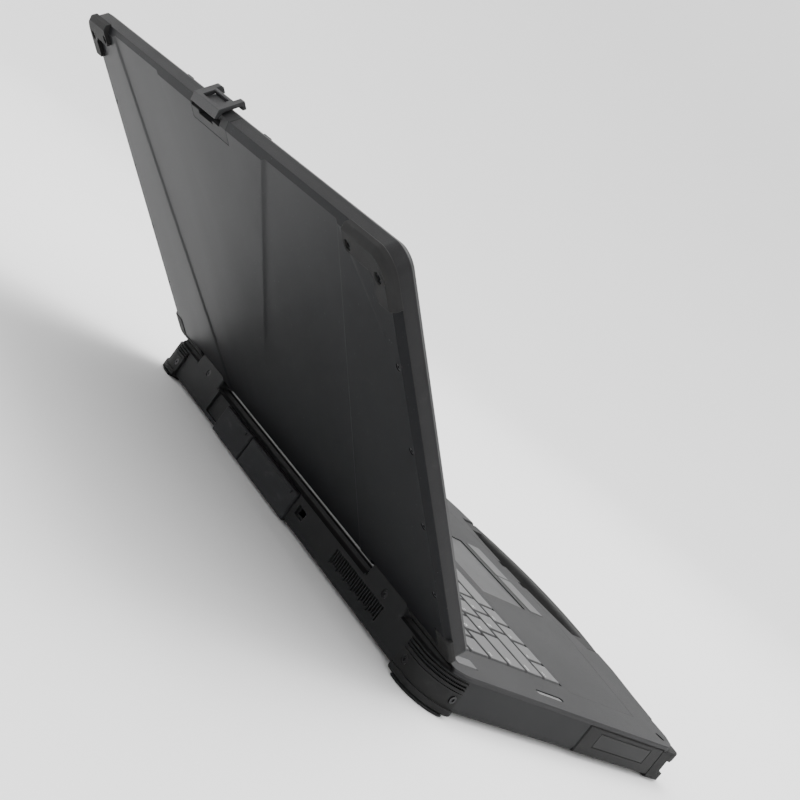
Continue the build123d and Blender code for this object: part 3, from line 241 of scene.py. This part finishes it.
plastic = dict(patchScale=14.0, grainScale=2600.0, spread=0.08, speckle=0.25, dust=0.05, rough=0.52,
               roughSpread=0.14, gloss=0.17, grainDepth=0.00006)
rubber = dict(scuffScale=60.0, toothScale=3000.0, worn=0.12, rough=0.68, gloss=0.14, toothDepth=0.00004)

finishes = {
    "case_plastic": mouldedFinish("case plastic", {**plastic, "tone": (0.0105, 0.0107, 0.0112), "gloss": 0.12}),
    # the deck's rear strip behind y = 0.1175 m is painted nearly black: a painted shadow of the lid, not the
    # plastic's own colour
    "deck_plastic": mouldedFinish("deck plastic", {**plastic, "tone": (0.0175, 0.0175, 0.0182), "gloss": 0.12,
                                                     "rearEdge": 0.1175, "rearShadowTone": (0.003, 0.003, 0.0032),
                                                     "rearRough": 0.5}),
    "bezel_plastic": mouldedFinish("bezel plastic", {**plastic, "tone": (0.0105, 0.0105, 0.011), "rough": 0.46,
                                                       "gloss": 0.13}),
    "key_plastic": mouldedFinish("key plastic", {**plastic, "tone": (0.045, 0.045, 0.046), "grainScale": 3600.0,
                                                   "grainDepth": 0.00003, "rough": 0.36, "gloss": 0.35}),
    "button_plastic": mouldedFinish("button plastic", {**plastic, "tone": (0.060, 0.060, 0.061), "rough": 0.42}),
    "touchpad_surface": mouldedFinish("touchpad surface", {**plastic, "tone": (0.033, 0.033, 0.034), "rough": 0.4,
                                                             "gloss": 0.15,
                                                             "grainDepth": 0.00002}),
    "battery_plastic": mouldedFinish("battery plastic", {**plastic, "tone": (0.0095, 0.0094, 0.0095), "gloss": 0.1}),
    "label_sheet": mouldedFinish("label sheet", {**plastic, "tone": (0.0125, 0.0125, 0.0128), "rough": 0.46,
                                                   "gloss": 0.1,
                                                   "grainDepth": 0.00001}),
    "latch_plastic": mouldedFinish("latch plastic", {**plastic, "tone": (0.018, 0.018, 0.019), "rough": 0.42}),
    "fan_plastic": mouldedFinish("fan plastic", {**plastic, "tone": (0.012, 0.012, 0.012)}),
    "lid_paint": lidPaintFinish("lid paint", dict(tone=(0.0065, 0.0068, 0.0076), peelScale=900.0, streakScale=9.0,
                                                 smudgeScale=7.0, speckScale=900.0, speck=0.12, rough=0.46,
                                                 streak=0.1, gloss=0.075, peelDepth=0.00002)),
    "corner_rubber": rubberFinish("corner rubber", {**rubber, "tone": (0.0100, 0.0100, 0.0100)}),
    "door_rubber": rubberFinish("door rubber", {**rubber, "tone": (0.0130, 0.0133, 0.0145), "gloss": 0.2}),
    "handle_rubber": rubberFinish("handle rubber", {**rubber, "tone": (0.020, 0.020, 0.020)}),
    "screw_steel": metalFinish("black screw", dict(tone=(0.03, 0.03, 0.031), lineScale=900.0, stretch=(1, 1, 1),
                                                  rough=0.34, lineDepth=0.00001)),
    "hinge_steel": metalFinish("hinge steel", dict(tone=(0.14, 0.14, 0.145), lineScale=400.0, stretch=(1, 8, 8),
                                                  rough=0.3, lineDepth=0.00001)),
    "sink_metal": metalFinish("heat sink", dict(tone=(0.5, 0.5, 0.51), lineScale=400.0, stretch=(1, 8, 1),
                                               rough=0.35, lineDepth=0.00001)),
    "pipe_metal": metalFinish("copper pipe", dict(tone=(0.6, 0.32, 0.19), lineScale=300.0, stretch=(1, 6, 6),
                                                 rough=0.35, lineDepth=0.00001)),
    "connector_metal": metalFinish("plated connector", dict(tone=(0.4, 0.4, 0.41), lineScale=500.0,
                                                           stretch=(6, 1, 6), rough=0.28, lineDepth=0.00001)),
    "module_case": metalFinish("module case", dict(tone=(0.2, 0.2, 0.21), lineScale=300.0, stretch=(1, 8, 8),
                                                  rough=0.4, lineDepth=0.00001)),
    "board": glossFinish("circuit board", dict(tone=(0.006, 0.05, 0.022), printScale=200.0, rough=0.35, gloss=0.5)),
    "window_plastic": glossFinish("smoked window", dict(tone=(0.006, 0.006, 0.0065), printScale=90.0, rough=0.2,
                                                       gloss=0.5)),
    "screen_glass": glossFinish("screen glass", dict(tone=(0.006, 0.006, 0.007), printScale=60.0, rough=0.12,
                                                    gloss=0.5, alpha=0.35)),
    "panel_film": glossFinish("display film", dict(tone=(0.004, 0.004, 0.005), printScale=60.0, rough=0.25,
                                                  gloss=0.5)),
    "camera_gloss": glossFinish("camera lens", dict(tone=(0.005, 0.005, 0.006), printScale=300.0, rough=0.08,
                                                   gloss=0.6)),
}
legendFinish = mouldedFinish("legend print", {**plastic, "tone": (0.55, 0.55, 0.55), "speckle": 0.0, "dust": 0.0,
                                              "spread": 0.04, "rough": 0.4, "grainDepth": 0.000004})
print("finishes made:", len(finishes))


# CAD nodes with eased edges
mergeRule = dict(doubled=0.000002, flatAngle=1.0)                      # metres, degrees
edgeRule = dict(segments=2, roundedFrom=28.0, sharpFrom=35.0)          # degrees


# the piece's only material becomes its slot's finish
def paint(piece, slotName):
    piece.data.materials.clear()
    piece.data.materials.append(finishes[slotName])


# a mesh's points as rows of three
def readPoints(mesh):
    points = np.empty(len(mesh.vertices) * 3)
    mesh.vertices.foreach_get("co", points)
    return points.reshape(-1, 3)


# a node's mesh with doubled points merged and its flat triangles joined
def mergedMesh(name):
    mesh = nodes[name].data.copy()
    form = bmesh.new()
    form.from_mesh(mesh)
    bmesh.ops.remove_doubles(form, verts=form.verts, dist=mergeRule["doubled"])
    bmesh.ops.dissolve_limit(form, angle_limit=math.radians(mergeRule["flatAngle"]), verts=form.verts,
                             edges=form.edges)
    form.to_mesh(mesh)
    form.free()
    return mesh


# the merged mesh as a piece of its own, each sharp edge rounded to the given width
def easedCopy(name, width):
    mesh = mergedMesh(name)
    mesh.name = name + "_shell"
    if hasattr(mesh, "clear_custom_split_normals"):
        mesh.clear_custom_split_normals()
    piece = bpy.data.objects.new(name + "_shell", mesh)
    bpy.context.scene.collection.objects.link(piece)
    paint(piece, slotOf[name])
    bevel = piece.modifiers.new("eased edges", "BEVEL")
    bevel.width = width
    bevel.segments = edgeRule["segments"]
    bevel.limit_method = "ANGLE"
    bevel.angle_limit = math.radians(edgeRule["roundedFrom"])
    bevel.use_clamp_overlap = True
    bevel.harden_normals = False
    mesh.polygons.foreach_set("use_smooth", np.ones(len(mesh.polygons), dtype=bool))
    mesh.set_sharp_from_angle(angle=math.radians(edgeRule["sharpFrom"]))
    weighted = piece.modifiers.new("flat faces stay flat", "WEIGHTED_NORMAL")
    weighted.keep_sharp = True
    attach(piece, bodyOf[name])
    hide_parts(name)
    return piece


for name, node in nodes.items():
    paint(node, slotOf[name])

easedEdges = {
    "top_case": 0.35, "middle_case": 0.3, "bottom_cover": 0.3, "palm_rest_plate": 0.12, "carry_handle": 1.2,
    "hinge_hood_left": 0.5, "hinge_hood_right": 0.5, "lid_back_cover": 0.3, "screen_bezel": 0.4,
    "battery_pack": 0.3, "latch_lever": 0.45, "latch_mount": 0.3, "lid_cap_left": 0.5, "lid_cap_right": 0.5,
    "lid_bumper_left": 0.5, "lid_bumper_right": 0.5, "bumper_rear_left": 0.5, "bumper_rear_right": 0.5,
    "bumper_front_left": 0.5, "bumper_front_right": 0.5, "port_door_left": 0.5, "port_door_right": 0.5,
    "port_door_side": 0.4, "drive_bay_cover": 0.3, "touchpad": 0.2, "touchpad_button_left": 0.25,
    "touchpad_button_right": 0.25, "power_button": 0.2, "keys_bottom": 0.3, "keys_lower": 0.3, "keys_home": 0.3,
    "keys_upper": 0.3, "keys_number": 0.3, "keys_function": 0.3, "keys_numpad": 0.3, "lid_seal": 0.2,
}
for name, width in easedEdges.items():
    easedCopy(name, width * millimetre)
print("eased copies:", len(easedEdges))

# key legends
legendRows = {
    "bottom": "Ctrl Fn Sys Alt _ Alt Menu Ctrl < v >",
    "lower": "Shift Z X C V B N M , . / Shift",
    "home": "Caps A S D F G H J K L ; ' Enter",
    "upper": "Tab Q W E R T Y U I O P [ ] \\",
    "number": "` 1 2 3 4 5 6 7 8 9 0 - = Back",
    "function": "Esc F1 F2 F3 F4 F5 F6 F7 F8 F9 F10 F11 F12 Prt Del",
    "numpad": "0 . Ent 1 2 3 4 5 6 + 7 8 9 Num / * - Home End PgU PgD",
}
legendSizes = dict(letter=4.4, word=2.9, inset=2.4, lift=0.02, insetAcross=0.8, insetDown=0.7, widest=0.86,
                   narrowest=0.3, relief=0.004, rowPitch=16.0)
capTopRule = dict(upright=0.99, nearTop=0.0001)
glyphStore = {}


# one legend as points and faces, lying flat with its lower left corner at the origin
def legendShape(word):
    if word not in glyphStore:
        curve = bpy.data.curves.new("legend", "FONT")
        curve.body = word
        curve.size = 1.0
        curve.resolution_u = 1
        curve.extrude = legendSizes["relief"]
        writer = bpy.data.objects.new("legend", curve)
        bpy.context.scene.collection.objects.link(writer)
        mesh = bpy.data.meshes.new_from_object(writer.evaluated_get(bpy.context.evaluated_depsgraph_get()))
        points = readPoints(mesh)
        points[:, :2] -= points[:, :2].min(axis=0)
        glyphStore[word] = (points, [tuple(polygon.vertices) for polygon in mesh.polygons])
        bpy.data.objects.remove(writer)
        bpy.data.meshes.remove(mesh)
        bpy.data.curves.remove(curve)
    return glyphStore[word]


# middles and sizes of a row's cap tops: upward faces at the node's highest level
def capTops(name):
    mesh = mergedMesh(name)
    spots = readPoints(mesh)
    top = spots[:, 2].max()
    tops = []
    for face in mesh.polygons:
        if face.normal.z > capTopRule["upright"] and abs(face.center.z - top) < capTopRule["nearTop"]:
            corners = spots[list(face.vertices)]
            tops.append((corners.min(axis=0), corners.max(axis=0)))
    bpy.data.meshes.remove(mesh)
    return tops


# legends of one row joined: each shape is scaled and moved to its cap's upper left corner
def legendRow(row, words):
    name = "keys_" + row
    tops = capTops(name)
    pitch = legendSizes["rowPitch"] * millimetre
    if row == "numpad":
        tops.sort(key=lambda cap: (round(cap[0][1] / pitch), cap[0][0]))
    else:
        tops.sort(key=lambda cap: cap[0][0])
    points, faces, used = [], [], 0
    for (low, high), word in zip(tops, words.split()):
        if word == "_":
            continue
        shape, shapeFaces = legendShape(word)
        size = legendSizes["letter" if len(word) == 1 else "word"] * millimetre
        spread = max(shape[:, 0].max(), legendSizes["narrowest"])
        size = min(size, (high[0] - low[0]) * legendSizes["widest"] / spread)
        inset = legendSizes["inset"] * millimetre
        down = inset * legendSizes["insetDown"] + size * shape[:, 1].max()
        corner = np.array([low[0] + inset * legendSizes["insetAcross"], high[1] - down,
                           high[2] + legendSizes["lift"] * millimetre])
        points.append(shape * size + corner)
        faces.extend(tuple(index + used for index in face) for face in shapeFaces)
        used += len(shape)
    mesh = bpy.data.meshes.new("legends_" + row)
    mesh.from_pydata(np.concatenate(points).tolist(), [], faces)
    mesh.update()
    piece = bpy.data.objects.new("legends_" + row, mesh)
    bpy.context.scene.collection.objects.link(piece)
    mesh.materials.append(legendFinish)
    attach(piece, bodyOf[name])


for row, words in legendRows.items():
    legendRow(row, words)
print("legends written:", len(legendRows), "rows")

# stage, camera, light
stageSizes = dict(flatRadius=1.7, wallRadius=4.2, wallHeight=3.2, rings=40, spokes=96)


# floor that bends up into a wall: height is a smooth step of the radius
def sweepFloor(sizes, level):
    radius = np.concatenate([np.linspace(0.0, sizes["flatRadius"], 6),
                             np.linspace(sizes["flatRadius"], sizes["wallRadius"], sizes["rings"])[1:]])
    rise = np.clip((radius - sizes["flatRadius"]) / (sizes["wallRadius"] - sizes["flatRadius"]), 0, 1)
    height = level + sizes["wallHeight"] * rise ** 2.2
    turn = np.linspace(0, 2 * math.pi, sizes["spokes"], endpoint=False)
    grid = np.stack([radius[:, None] * np.cos(turn), radius[:, None] * np.sin(turn),
                     np.repeat(height[:, None], len(turn), axis=1)], axis=2)
    return grid


# quads between neighbouring rows and columns of a grid, closed along the columns if asked
def gridFaces(rows, columns, closed):
    row = np.arange(rows - 1)[:, None]
    column = np.arange(columns if closed else columns - 1)[None, :]
    following = (column + 1) % columns
    corners = [row * columns + column, row * columns + following, (row + 1) * columns + following,
               (row + 1) * columns + column]
    return np.stack(np.broadcast_arrays(*corners), axis=2).reshape(-1, 4)


# points and quads as a piece, painted with its slot's finish if it has one
def meshPiece(name, points, faces, slotName=None, smooth=True):
    mesh = bpy.data.meshes.new(name)
    mesh.from_pydata(np.asarray(points).reshape(-1, 3).tolist(), [], np.asarray(faces).tolist())
    mesh.update()
    mesh.polygons.foreach_set("use_smooth", np.full(len(mesh.polygons), smooth))
    piece = bpy.data.objects.new(name, mesh)
    bpy.context.scene.collection.objects.link(piece)
    if slotName:
        paint(piece, slotName)
    return piece


floorDrop = 0.0002                                                     # metres below the feet
floorGrid = sweepFloor(stageSizes, cadBounds[0][2] - floorDrop)
floor = meshPiece("studio_floor", floorGrid, gridFaces(floorGrid.shape[0], floorGrid.shape[1], True))
floorFinish = Finish("pale floor")
floorLook = dict(patchScale=3.0, low=(0.9, 0.9, 0.9), high=(0.93, 0.93, 0.93), rough=0.9, gloss=0.1)
floorFinish.feed("Base Color", floorFinish.blend(floorFinish.noise(floorLook["patchScale"]), floorLook["low"],
                                                 floorLook["high"]))
floorFinish.feed("Roughness", floorLook["rough"])
floorFinish.feed("Specular IOR Level", floorLook["gloss"])
floor.data.materials.append(floorFinish.material)

lidHinge = next(joint for joint in frame["record"]["behaviour"]["joints"] if joint["name"] == "lid_hinge")
latchWindow = dict(half=9.4, low=-4.9, high=2.1, plate=2.2, under=0.1, dish=0.15, thickness=0.25)


# a sheet across the latch's window: a place on the open lid is its axis plus reach and depth, both turned by the
# opening, and the sheet dips by one less the square of its way out from the middle
def windowSheet(look, across=15, along=9):
    turn = math.radians(lidHinge["range_deg"][1])
    reachWay = np.array([0.0, -math.cos(turn), math.sin(turn)])
    depthWay = np.array([0.0, math.sin(turn), math.cos(turn)])
    axis = np.array(lidHinge["pos_m"])
    outer = ((readPoints(nodes["latch_lever"].data) - axis) @ reachWay).max()
    side = np.linspace(-1.0, 1.0, across)[:, None]
    up = np.linspace(look["low"], look["high"], along)[None, :]
    middle = (look["low"] + look["high"]) / 2
    bowl = (1 - side ** 2) * (1 - ((up - middle) / (look["high"] - middle)) ** 2) * look["dish"]
    reach = outer - (look["plate"] + look["under"] + bowl) * millimetre
    return (axis + side[..., None] * look["half"] * millimetre * np.array([1.0, 0.0, 0.0])
            + reach[..., None] * reachWay + up[..., None] * millimetre * depthWay)


windowGrid = windowSheet(latchWindow)
windowPiece = meshPiece("latch_window_floor", windowGrid, gridFaces(windowGrid.shape[0], windowGrid.shape[1], False),
                        "latch_plastic")
backing = windowPiece.modifiers.new("sheet", "SOLIDIFY")
backing.thickness = latchWindow["thickness"] * millimetre
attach(windowPiece, "latch")

cameraRig = dict(place=(-0.56027, 0.60689, 0.19532), look=(0.72163, -0.68314, -0.11210),
                 up=(0.47923, 0.37609, 0.79303), lens=52.643, sensor=36.0, shift=(-0.01993, -0.00874))


# camera turned by three square axes: back is against the look, right is up crossed with back
def makeCamera(rig):
    data = bpy.data.cameras.new("camera")
    data.lens = rig["lens"]
    data.sensor_width = rig["sensor"]
    data.shift_x, data.shift_y = rig["shift"]
    data.clip_start = 0.01
    camera = bpy.data.objects.new("camera", data)
    bpy.context.scene.collection.objects.link(camera)
    back = -Vector(rig["look"]).normalized()
    right = Vector(rig["up"]).cross(back).normalized()
    above = back.cross(right)
    turn = Matrix((right, above, back)).transposed().to_4x4()
    camera.matrix_world = Matrix.Translation(Vector(rig["place"])) @ turn
    bpy.context.scene.camera = camera


# square area light whose own minus Z points from its place to the target
def softLight(name, place, target, size, power, tone=(1, 1, 1)):
    data = bpy.data.lights.new(name, "AREA")
    data.shape = "RECTANGLE"
    data.size, data.size_y = size
    data.energy = power
    data.color = tone
    light = bpy.data.objects.new(name, data)
    bpy.context.scene.collection.objects.link(light)
    aim = (Vector(target) - Vector(place)).to_track_quat("-Z", "Y")
    light.matrix_world = Matrix.Translation(Vector(place)) @ aim.to_matrix().to_4x4()


makeCamera(cameraRig)
topLight = dict(place=(0.2, -0.4, 1.8), target=(0, 0, 0.05), size=(1.8, 1.8), power=48.0)
rearLeftLight = dict(place=(-1.5, 1.0, 0.9), target=(0, 0, 0.1), size=(1.0, 1.0), power=9.0)
softLight("top light", **topLight)
softLight("rear left light", **rearLeftLight)
worldStrength = 1.65
world = bpy.data.worlds.new("studio")
world.use_nodes = True
world.node_tree.nodes["Background"].inputs["Color"].default_value = (1, 1, 1, 1)
world.node_tree.nodes["Background"].inputs["Strength"].default_value = worldStrength
bpy.context.scene.world = world
